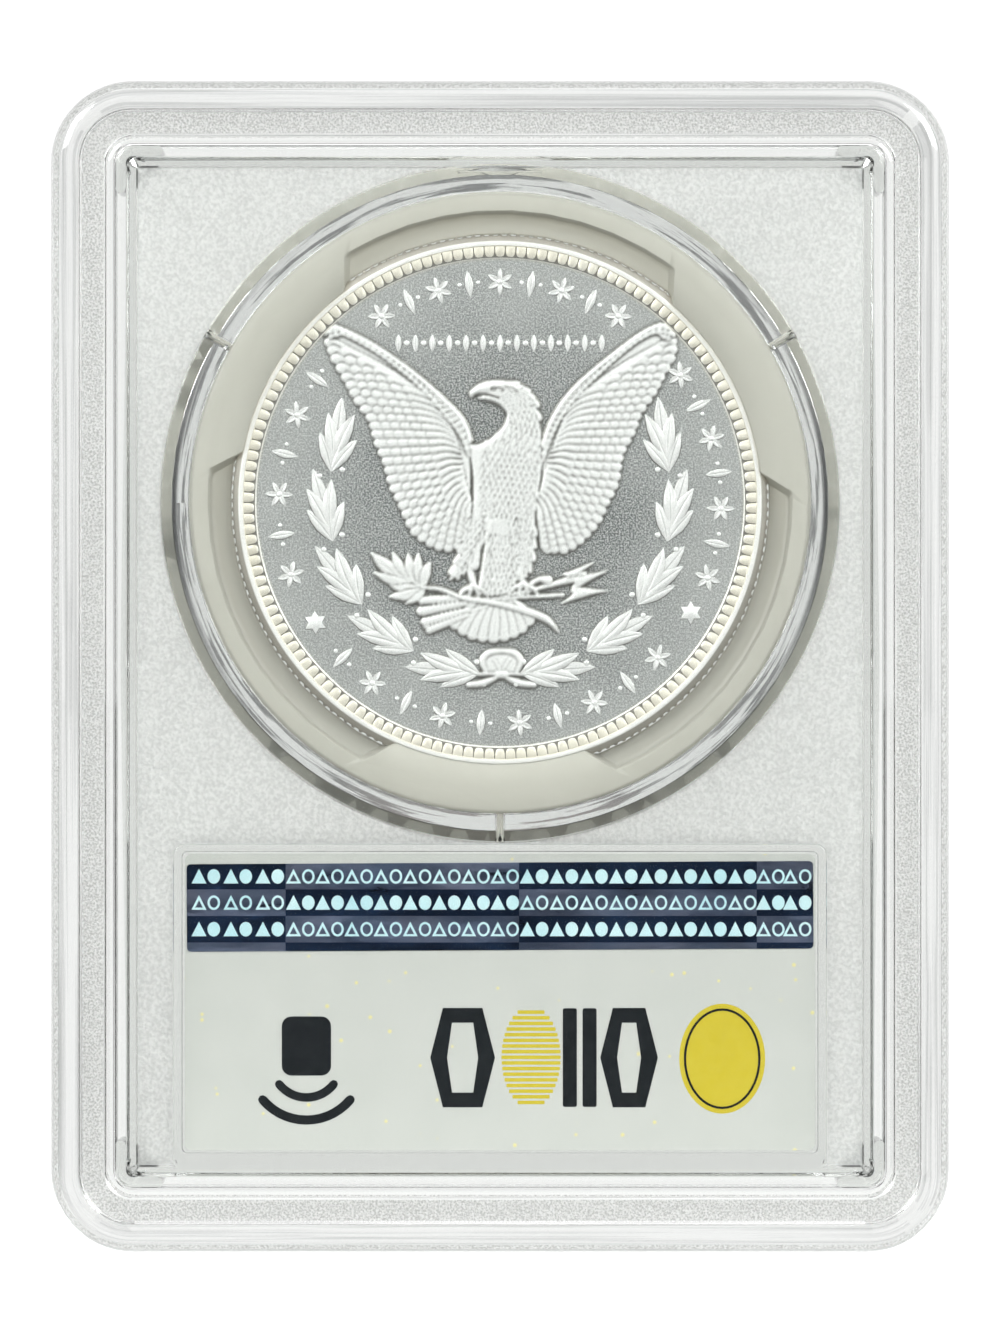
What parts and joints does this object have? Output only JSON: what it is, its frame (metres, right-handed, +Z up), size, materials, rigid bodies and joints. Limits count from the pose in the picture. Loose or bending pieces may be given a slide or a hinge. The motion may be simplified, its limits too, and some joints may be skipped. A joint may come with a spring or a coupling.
{
  "type": "graded coin slab",
  "caption": "Clear welded holder that shows a silver coin in a soft three-prong gasket above a laminated label with a foil strip.",
  "frame": {"origin": "bottom centre of the slab as it stands on its lower edge", "axes": "+X across the slab, +Y through its thickness from the side with the foil strip to the other side, +Z up"},
  "size_m": [0.0636, 0.008, 0.0828],
  "materials": {
    "shell": "clear moulded polystyrene, polished, with a frosted band",
    "core": "polystyrene, spark-frosted panel with clear windows and ring",
    "gasket": "milky translucent soft thermoplastic",
    "silver": "struck silver, mirror fields, frosted devices, lightly toned rim",
    "label_paper": "pale grey-green security paper, printed",
    "foil": "holographic foil",
    "film": "clear polyester film",
    "antenna": "etched metal trace",
    "chip": "black chip module"
  },
  "bodies": {
    "holder": {"outer_shell_back": "shell", "outer_shell_front": "shell", "core_back": "core", "core_front": "core", "gasket": "gasket", "label_back_ply": "label_paper", "label_front_ply": "label_paper", "foil_strip": "foil", "tag_film": "film", "tag_antenna": "antenna", "tag_chip": "chip"},
    "coin": {"coin": "silver"}
  },
  "joints": [
    {"name": "coin_turn", "type": "hinge", "parent": "holder", "child": "coin", "pos_m": [0, 0, 0.053], "axis": [0, 1, 0], "continuous": true}
  ]
}
